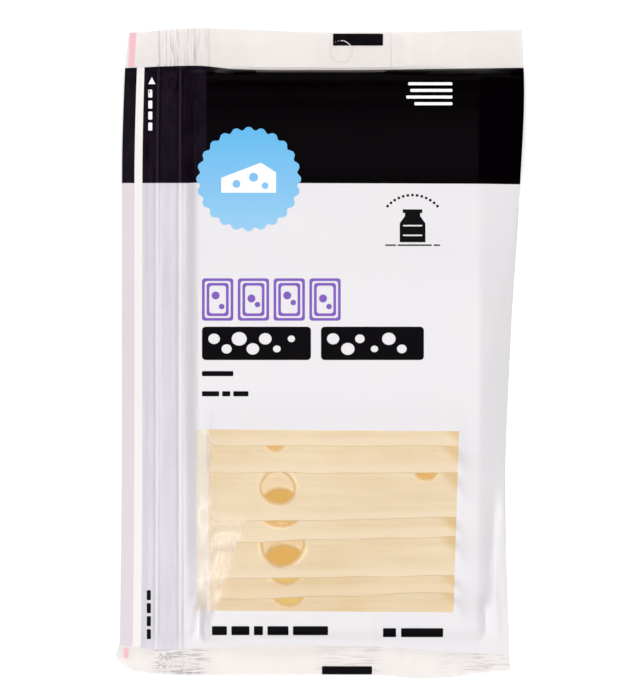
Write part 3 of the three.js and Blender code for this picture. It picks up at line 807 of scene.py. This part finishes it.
# Materials
class Look:
    """Short ways to put together one material's nodes."""

    def __init__(self, name):
        self.material = bpy.data.materials.new(name)
        self.material.use_nodes = True
        self.tree = self.material.node_tree
        self.tree.nodes.clear()
        self.output = self.node("ShaderNodeOutputMaterial")

    def node(self, kind, inputs=None, **settings):
        node = self.tree.nodes.new(kind)
        for key, value in settings.items():
            setattr(node, key, value)
        for key, value in (inputs or {}).items():
            self.feed(node.inputs[key], value)
        return node

    def feed(self, socket, value):
        if isinstance(value, bpy.types.NodeSocket):
            self.tree.links.new(value, socket)
        else:
            socket.default_value = value

    def math(self, operation, a, b=0.0, clamp=False):
        return self.node("ShaderNodeMath", {0: a, 1: b}, operation=operation, use_clamp=clamp).outputs[0]

    def mix(self, share, a, b):
        node = self.node("ShaderNodeMix", {0: share, 6: a, 7: b}, data_type="RGBA")
        return node.outputs[2]

    def attribute(self, name):
        return self.node("ShaderNodeAttribute", attribute_name=name).outputs["Fac"]

    def noise(self, length, detail=3, stretch=(1, 1, 1)):
        """Noise with features of about a length in millimetres."""
        place = self.node("ShaderNodeTexCoord").outputs["Object"]
        scale = tuple(1 / (MM * length * value) for value in stretch)
        mapped = self.node("ShaderNodeMapping", {"Vector": place, "Scale": scale}).outputs[0]
        inputs = {"Vector": mapped, "Scale": 1.0, "Detail": detail}
        return self.node("ShaderNodeTexNoise", inputs).outputs["Fac"]

    def axis(self, name):
        """A place along X, Y or Z in millimetres."""
        place = self.node("ShaderNodeTexCoord").outputs["Object"]
        return self.math("DIVIDE", self.node("ShaderNodeSeparateXYZ", {0: place}).outputs[name], MM)

    def between(self, value, low, high):
        above = self.math("GREATER_THAN", value, low)
        return self.math("MULTIPLY", above, self.math("LESS_THAN", value, high))

    def bump(self, height, strength, distance):
        inputs = {"Height": height, "Strength": strength, "Distance": distance * MM}
        return self.node("ShaderNodeBump", inputs).outputs[0]

    def surface(self, shader):
        self.feed(self.output.inputs["Surface"], shader.outputs[0])
        return self.material

    def principled(self, **sockets):
        inputs = {key.replace("_", " "): value for key, value in sockets.items()}
        return self.node("ShaderNodeBsdfPrincipled", inputs)


def tone(red, green, blue):
    """A linear colour from screen values between 0 and 255."""
    shares = np.array([red, green, blue]) / 255
    linear = np.where(shares <= 0.04045, shares / 12.92, ((shares + 0.055) / 1.055) ** 2.4)
    return (*linear.tolist(), 1.0)


def panel_colour(look):
    """White film with faint clouding."""
    return look.mix(look.noise(CLOUDS), tone(*PANEL_COOL), tone(*PANEL_WARM))


def band_mask(look):
    height = look.math("ADD", look.axis("Y"), look.math("MULTIPLY", look.axis("X"), BAND_SLOPE))
    return look.math("GREATER_THAN", height, BAND_BOTTOM)


def front_material():
    look = Look("printed_front")
    across = look.attribute("across")
    band = band_mask(look)
    flap = look.math("LESS_THAN", across, STRIPE[0])
    stripe = look.between(across, *STRIPE)
    zone = look.math("LESS_THAN", across, ON_FLANGE)
    # Painted shade: the zip flange is greyer, in vertical streaks
    streaks = look.mix(look.noise(*ZIP_STREAKS), tone(*ZIP_DIM), tone(*ZIP_LIGHT))
    light = look.mix(zone, panel_colour(look), streaks)
    # Painted highlight along the zip's ridge crests
    low, high = (look.between(across, place - RIDGE_CREST, place + RIDGE_CREST) for place in RIDGES)
    crests = look.math("ADD", low, high)
    light = look.mix(look.math("MULTIPLY", crests, CREST_LIGHT), light, tone(*RIDGE_HIGHLIGHT))
    light = look.mix(flap, light, tone(*FLAP_PINK))
    # Painted sheen: the black band over the zip is lighter in streaks, and lighter still on the ridge crests
    wrinkled = look.mix(look.noise(*BAND_SHEEN_STREAKS), tone(*BAND_BLACK), tone(*BAND_ZIP_SHEEN))
    beside = look.math("LESS_THAN", look.axis("X"), STACK_LEFT)
    dark = look.mix(look.math("MAXIMUM", crests, beside), tone(*BAND_BLACK), wrinkled)
    dark = look.mix(look.math("MULTIPLY", crests, CREST_DARK), dark, tone(*BAND_RIDGE_SHEEN))
    colour = look.mix(stripe, look.mix(band, light, dark), tone(*STRIPE_CREAM))
    bump = look.bump(look.noise(*FILM_GRAIN), *FILM_BUMP)
    rough = look.math("ADD", look.math("MULTIPLY", look.noise(ROUGH_GRAIN), ROUGH_SPREAD), FILM_ROUGH)
    return look.surface(
        look.principled(Base_Color=colour, Roughness=rough, Specular_IOR_Level=FILM_GLOSS, Normal=bump)
    )


def back_material():
    look = Look("printed_back")
    band = band_mask(look)
    # Painted golden light on the film's inside, seen through the lowest slice's eye
    inside = look.math("GREATER_THAN", look.axis("Z"), FILM / 2)
    painted_glow = look.math("MULTIPLY", look.attribute("painted_glow"), inside)
    outside = look.mix(band, panel_colour(look), tone(*BAND_BLACK))
    colour = look.mix(painted_glow, outside, tone(*BACK_PAINTED_GLOW))
    bump = look.bump(look.noise(*BACK_GRAIN), *BACK_BUMP)
    return look.surface(look.principled(Base_Color=colour, Roughness=BACK_ROUGH, Normal=bump))


def ink_material(name, colour, other):
    """Ink on the film, a little uneven."""
    look = Look(name)
    shade = look.mix(look.noise(INK_CLOUDS), tone(*colour), tone(*other))
    return look.surface(look.principled(Base_Color=shade, Roughness=INK_ROUGH, Specular_IOR_Level=FILM_GLOSS))


def badge_material():
    look = Look("ink_blue")
    _, middle = at_pixel(*BADGE_PX)
    below_top = look.math("SUBTRACT", middle + BADGE_RADIUS, look.axis("Y"))
    low = look.math("DIVIDE", below_top, 2 * BADGE_RADIUS, True)
    shade = look.mix(low, tone(*BADGE_TOP), tone(*BADGE_BOTTOM))
    return look.surface(look.principled(Base_Color=shade, Roughness=INK_ROUGH, Specular_IOR_Level=FILM_GLOSS))


def see_through(look, share, film):
    """Film that lets a share of the light straight through."""
    clear = look.node("ShaderNodeBsdfTransparent", {"Color": (1, 1, 1, 1)})
    return look.surface(look.node("ShaderNodeMixShader", {0: share, 1: clear.outputs[0], 2: film.outputs[0]}))


def window_material():
    look = Look("window_film")
    bump = look.bump(look.noise(*PANE_GRAIN), *PANE_BUMP)
    film = look.principled(Base_Color=tone(*WINDOW_HAZE), Roughness=PANE_ROUGH, Normal=bump)
    gloss = look.node("ShaderNodeFresnel", {"IOR": PANE_IOR, "Normal": bump}).outputs[0]
    # Milky film and painted fold highlights where the attribute is high, and gloss by the Fresnel factor
    share = look.math("ADD", look.math("MULTIPLY", look.attribute("haze_and_highlight"), PANE_MILK), gloss, True)
    return see_through(look, share, film)


def seal_material(name, length, stretch, contrast):
    """Hazy film with grey streaks of painted shade where the zip is crushed and crinkled."""
    look = Look(name)
    colour = look.mix(look.noise(SEAL_CLOUDS), tone(*SEAL_CREAM), tone(*SEAL_GREY))
    peaks = look.math("SUBTRACT", look.noise(length, 2, stretch), 0.5, True)
    streaks = look.math("MULTIPLY", peaks, contrast, True)
    streaks = look.math("MULTIPLY", streaks, look.attribute("crush_shade"))
    colour = look.mix(streaks, colour, tone(*SEAL_STREAK_SHADE))
    bump = look.bump(look.noise(*SEAL_GRAIN), *SEAL_BUMP)
    film = look.principled(Base_Color=colour, Roughness=SEAL_ROUGH, Normal=bump)
    clouds = look.math("MULTIPLY", look.noise(SEAL_HAZE_GRAIN), SEAL_HAZE_SPREAD)
    return see_through(look, look.math("ADD", clouds, SEAL_HAZE), film)


def cheese_material():
    look = Look("cheese")
    streaks = look.math("MULTIPLY", look.noise(*CHEESE_STREAKS), STREAK_SHARE)
    patches = look.math("ADD", look.noise(*CHEESE_PATCHES), streaks)
    patches = look.math("MULTIPLY", look.math("SUBTRACT", patches, 0.5), PATCH_CONTRAST, True)
    pale = look.mix(patches, tone(*CHEESE_PALE), tone(*CHEESE_DEEP))
    # Painted highlight along the lower edges and round the eyes
    rim = look.math("MULTIPLY", look.attribute("rim"), RIM_SHARE)
    colour = look.mix(rim, pale, tone(*CHEESE_RIM_HIGHLIGHT))
    # Golden painted shade in and under the eyes and in the corners beside the next slice, and a little on the
    # lowest two slices all over
    colour = look.mix(look.attribute("gold"), colour, tone(*CHEESE_GOLD))
    # Lighter paint on eye walls and lower edge faces, against their own shading
    colour = look.mix(look.attribute("wall"), colour, tone(*CHEESE_WALL_LIGHT))
    bump = look.bump(look.noise(*CHEESE_GRAIN), *CHEESE_BUMP)
    shader = look.principled(
        Base_Color=colour, Roughness=CHEESE_ROUGH, Subsurface_Weight=CHEESE_GLOW, Normal=bump
    )
    shader.inputs["Subsurface Radius"].default_value = CHEESE_GLOW_TONE
    shader.inputs["Subsurface Scale"].default_value = CHEESE_GLOW_REACH * MM
    return look.surface(shader)


# Pieces of film
def make_film(front_look, back_look, window_look, top_look, bottom_look):
    x, y, first, last = make_grid()
    front = front_height(x, y)
    _, back = plain_heights(x, y)
    back = np.maximum(back, 0)
    front = np.maximum(front, back + FRONT_CLEAR)
    column = np.arange(x.shape[1])
    across = np.where(column < len(FLANGE_SHARES), flange_share(x, y), OFF_FLANGE)
    rows, columns = (size - 1 for size in x.shape)
    body = np.zeros((rows, columns), bool)
    body[first:last] = True
    window = np.zeros_like(body)
    low = first + int(np.argmin(np.abs(BODY_PLACES - WINDOW_BOTTOM)))
    high = first + int(np.argmin(np.abs(BODY_PLACES - WINDOW_TOP)))
    left = len(FLANGE_SHARES) + int(np.argmin(np.abs(STACK_PLACES - WINDOW_LEFT)))
    right = len(FLANGE_SHARES) + int(np.argmin(np.abs(STACK_PLACES - WINDOW_RIGHT)))
    window[low:high, left:right] = True
    shares = {"across": across}
    faces = grid_faces(body & ~window)
    printed = sheet("printed_front", x, y, front, front - FILM, faces, front_look, shares)
    printed.visible_shadow = False
    # Painted golden light on the back film under the lowest slice's eye
    painted_glow = {"painted_glow": inside_eyes(0, x, y, GLOW_MARGIN)}
    sheet("printed_back", x, y, back + FILM, back, grid_faces(body), back_look, painted_glow)
    haze_and_highlight = {"haze_and_highlight": window_haze_and_highlights(x, y)}
    pane = sheet("window_pane", x, y, front, front - FILM, grid_faces(window), window_look, haze_and_highlight)
    pane.visible_shadow = False
    below = np.zeros_like(body)
    below[:first] = True
    # Where the seals get grey streaks of painted shade: the crushed zip, and the middle and right end of the
    # bottom seal
    crush_shade = smooth(across, *CRUSH_SHARES) * (1 - smooth(x, *STREAK_FADE))
    middle = MIDDLE_STREAKS * smooth(x, *MIDDLE_STARTS) * (1 - smooth(x, *MIDDLE_ENDS))
    right_end = RIGHT_STREAKS * smooth(x, *RIGHT_STARTS)
    wrinkled = {"crush_shade": np.maximum(np.maximum(crush_shade, middle), right_end)}
    sheet("seal_bottom", x, y, front, back, grid_faces(below), bottom_look, wrinkled)
    above = np.zeros_like(body)
    above[last:] = True
    sheet("seal_top", x, y, front, back, grid_faces(above), top_look, {"crush_shade": crush_shade})


def window_haze_and_highlights(x, y):
    """Where the clear film is paler: a painted highlight along the slices' left ends and along its slanting
    folds, and milky film beside those folds.
    """
    edge = haze_edge(y)
    strip = 1 - smooth(x, STACK_LEFT, STACK_LEFT + HAZE_HIGHLIGHT_STRIP)
    folded = smooth(-y, *HAZE_FOLDED)
    behind = HAZE_BEHIND * (1 - smooth(x, edge + HAZE_FADE[0], edge + HAZE_FADE[1])) * folded
    # Painted highlight lines along the slanting folds
    lines = sum(milk * np.exp(-(((x - edge + back) / HAZE_HIGHLIGHT_WIDTH) ** 2)) for milk, back in HAZE_HIGHLIGHT_LINES)
    return np.clip(np.maximum(strip, behind + lines * folded), 0, 1)


# Studio
def area_light(name, place, size, power):
    light = bpy.data.lights.new(name, "AREA")
    light.size = size
    light.energy = power
    lamp = bpy.data.objects.new(name, light)
    lamp.location = place
    lamp.rotation_euler = (-Vector(place)).to_track_quat("-Z", "Y").to_euler()
    lamp.visible_camera = False
    bpy.context.collection.objects.link(lamp)


def make_floor():
    look = Look("floor")
    colour = look.mix(look.noise(FLOOR_CLOUDS), tone(*FLOOR_TONE), tone(*FLOOR_TONE_OTHER))
    shader = look.principled(Base_Color=colour, Roughness=FLOOR_ROUGH, Emission_Strength=FLOOR_GLOW)
    shader.inputs["Emission Color"].default_value = (1, 1, 1, 1)
    material = look.surface(shader)
    half = FLOOR_SIZE / 2
    corners = [(-half, -half, FLOOR_Z), (half, -half, FLOOR_Z), (half, half, FLOOR_Z), (-half, half, FLOOR_Z)]
    mesh = bpy.data.meshes.new("floor")
    mesh.from_pydata((np.array(corners) * MM).tolist(), [], [(0, 1, 2, 3)])
    mesh.materials.append(material)
    floor = bpy.data.objects.new("floor", mesh)
    bpy.context.collection.objects.link(floor)


def make_studio():
    """Four soft lights high above, and a world that is dimmer straight above than at the horizon."""
    make_floor()
    world = bpy.data.worlds.new("studio")
    world.use_nodes = True
    bpy.context.scene.world = world
    nodes, links = world.node_tree.nodes, world.node_tree.links
    place = nodes.new("ShaderNodeTexCoord")
    parts = nodes.new("ShaderNodeSeparateXYZ")
    ramp = nodes.new("ShaderNodeMapRange")
    limits = zip(("From Min", "From Max", "To Min", "To Max"), (*WORLD_DIM_FROM_TO, *WORLD_STRENGTHS))
    for key, value in limits:
        ramp.inputs[key].default_value = value
    links.new(place.outputs["Generated"], parts.inputs[0])
    links.new(parts.outputs["Z"], ramp.inputs["Value"])
    links.new(ramp.outputs[0], nodes["Background"].inputs["Strength"])
    nodes["Background"].inputs["Color"].default_value = (1, 1, 1, 1)
    for name, place, size, power in LIGHTS:
        area_light(name, place, size, power)
    bpy.context.scene.view_settings.view_transform = "Standard"


def make_camera():
    camera = bpy.data.cameras.new("camera")
    camera.sensor_width = SENSOR
    camera.lens = SENSOR * CAMERA_HEIGHT / (PHOTO_HEIGHT_PX * MM_PER_PX)
    camera.clip_end = 2 * CAMERA_HEIGHT * MM
    holder = bpy.data.objects.new("camera", camera)
    holder.location = (VIEW_CENTRE[0] * MM, VIEW_CENTRE[1] * MM, CAMERA_HEIGHT * MM)
    bpy.context.collection.objects.link(holder)
    bpy.context.scene.camera = holder


def make_pack():
    pouch = ("printed_film", ["pouch"])
    make_film(
        (front_material(), *pouch),
        (back_material(), *pouch),
        (window_material(), "clear_film", ["window_film"]),
        (seal_material("seal_top", *TOP_STREAKS), "clear_film", ["pouch"]),
        (seal_material("seal_bottom", *BOTTOM_STREAKS), "clear_film", ["pouch"]),
    )
    make_print(
        {
            "blue": badge_material(),
            "white": ink_material("ink_white", *INK_WHITE),
            "purple": ink_material("ink_purple", *INK_PURPLE),
            "black": ink_material("ink_black", *INK_BLACK),
            "mark": ink_material("seal_mark", *SEAL_MARK),
            "pink": ink_material("ink_pink", *INK_PINK),
        }
    )
    cheese = cheese_material()
    for number in range(len(SLICES)):
        make_slice(number, cheese)


make_studio()
make_camera()
make_pack()
